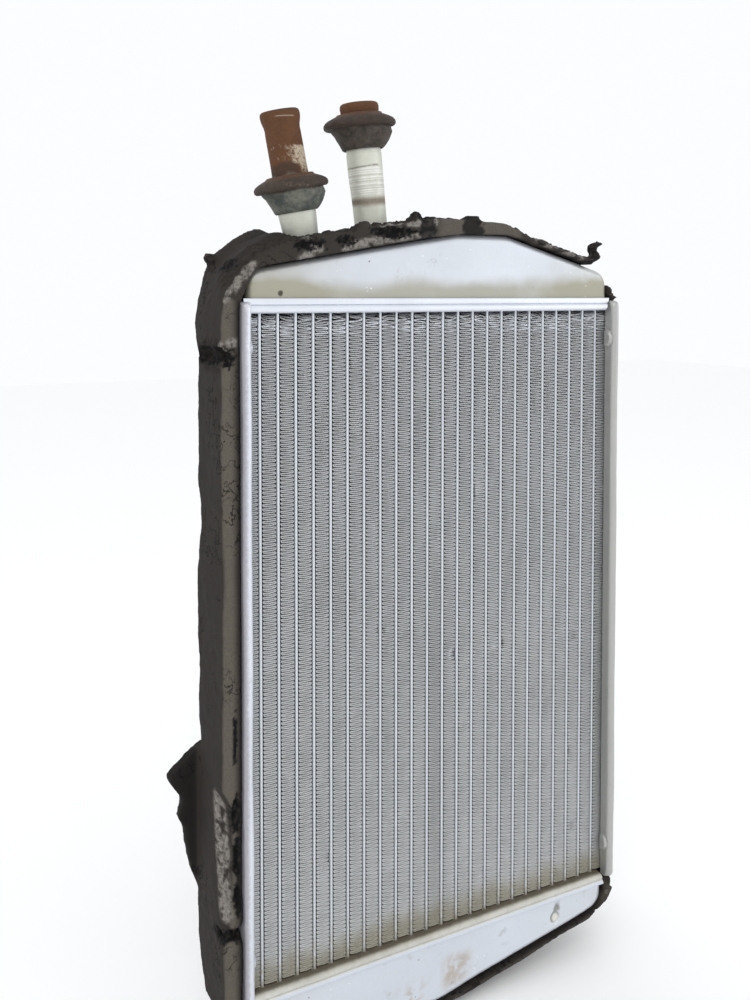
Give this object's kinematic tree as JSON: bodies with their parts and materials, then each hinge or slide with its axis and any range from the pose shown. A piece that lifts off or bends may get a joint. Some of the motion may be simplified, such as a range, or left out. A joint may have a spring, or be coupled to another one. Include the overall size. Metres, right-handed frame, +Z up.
{
  "type": "heater core",
  "caption": "Aluminium tube-and-fin heater core with stamped end tanks, hose spigots in rubber grommets and a torn foam sealing wrap around its edges.",
  "frame": {"origin": "on the flat underside of the foam wrap, at mid-width and mid-depth of the tube-and-fin block", "axes": "+Z up along the tubes towards the tank with the spigots, +X across the width so that the spigots are on the -X side, -Y out of the front face"},
  "size_m": [0.2628, 0.0519, 0.4862],
  "materials": {
    "tube_aluminium": "bright brazed tube edges",
    "fin_aluminium": "thin folded strip, dulled and dusty",
    "header_aluminium": "bright satin",
    "tank_aluminium": "satin with beige stains and light scratches",
    "plate_aluminium": "satin, stained",
    "pipe_aluminium": "oxidised, with brown staining and cream scale",
    "grommet_rubber": "aged black rubber, dusty",
    "wrap_foam": "perished black closed-cell foam"
  },
  "bodies": {
    "core": {"upper_header_plate": "header_aluminium", "lower_header_plate": "header_aluminium", "upper_tank": "tank_aluminium", "lower_tank": "tank_aluminium", "upper_tank_baffle": "tank_aluminium", "left_side_plate": "plate_aluminium", "right_side_plate": "plate_aluminium", "inlet_pipe": "pipe_aluminium", "outlet_pipe": "pipe_aluminium", "foam_wrap_left_top": "wrap_foam", "foam_wrap_right_bottom": "wrap_foam", "tube_01": "tube_aluminium", "tube_02": "tube_aluminium", "tube_03": "tube_aluminium", "tube_04": "tube_aluminium", "tube_05": "tube_aluminium", "tube_06": "tube_aluminium", "tube_07": "tube_aluminium", "tube_08": "tube_aluminium", "tube_09": "tube_aluminium", "tube_10": "tube_aluminium", "tube_11": "tube_aluminium", "tube_12": "tube_aluminium", "tube_13": "tube_aluminium", "tube_14": "tube_aluminium", "tube_15": "tube_aluminium", "tube_16": "tube_aluminium", "tube_17": "tube_aluminium", "tube_18": "tube_aluminium", "tube_19": "tube_aluminium", "tube_20": "tube_aluminium", "tube_21": "tube_aluminium", "tube_22": "tube_aluminium", "tube_23": "tube_aluminium", "fin_01": "fin_aluminium", "fin_02": "fin_aluminium", "fin_03": "fin_aluminium", "fin_04": "fin_aluminium", "fin_05": "fin_aluminium", "fin_06": "fin_aluminium", "fin_07": "fin_aluminium", "fin_08": "fin_aluminium", "fin_09": "fin_aluminium", "fin_10": "fin_aluminium", "fin_11": "fin_aluminium", "fin_12": "fin_aluminium", "fin_13": "fin_aluminium", "fin_14": "fin_aluminium", "fin_15": "fin_aluminium", "fin_16": "fin_aluminium", "fin_17": "fin_aluminium", "fin_18": "fin_aluminium", "fin_19": "fin_aluminium", "fin_20": "fin_aluminium", "fin_21": "fin_aluminium", "fin_22": "fin_aluminium", "fin_23": "fin_aluminium", "fin_24": "fin_aluminium"},
    "inlet_grommet": {"inlet_grommet": "grommet_rubber"},
    "outlet_grommet": {"outlet_grommet": "grommet_rubber"}
  },
  "joints": [
    {"name": "inlet_grommet_slide", "type": "slide", "parent": "core", "child": "inlet_grommet", "axis": [-0.1891, 0, 0.982], "range_m": [-0.0135, 0.0265]},
    {"name": "outlet_grommet_slide", "type": "slide", "parent": "core", "child": "outlet_grommet", "axis": [-0.1149, 0, 0.9934], "range_m": [-0.04, 0]}
  ]
}
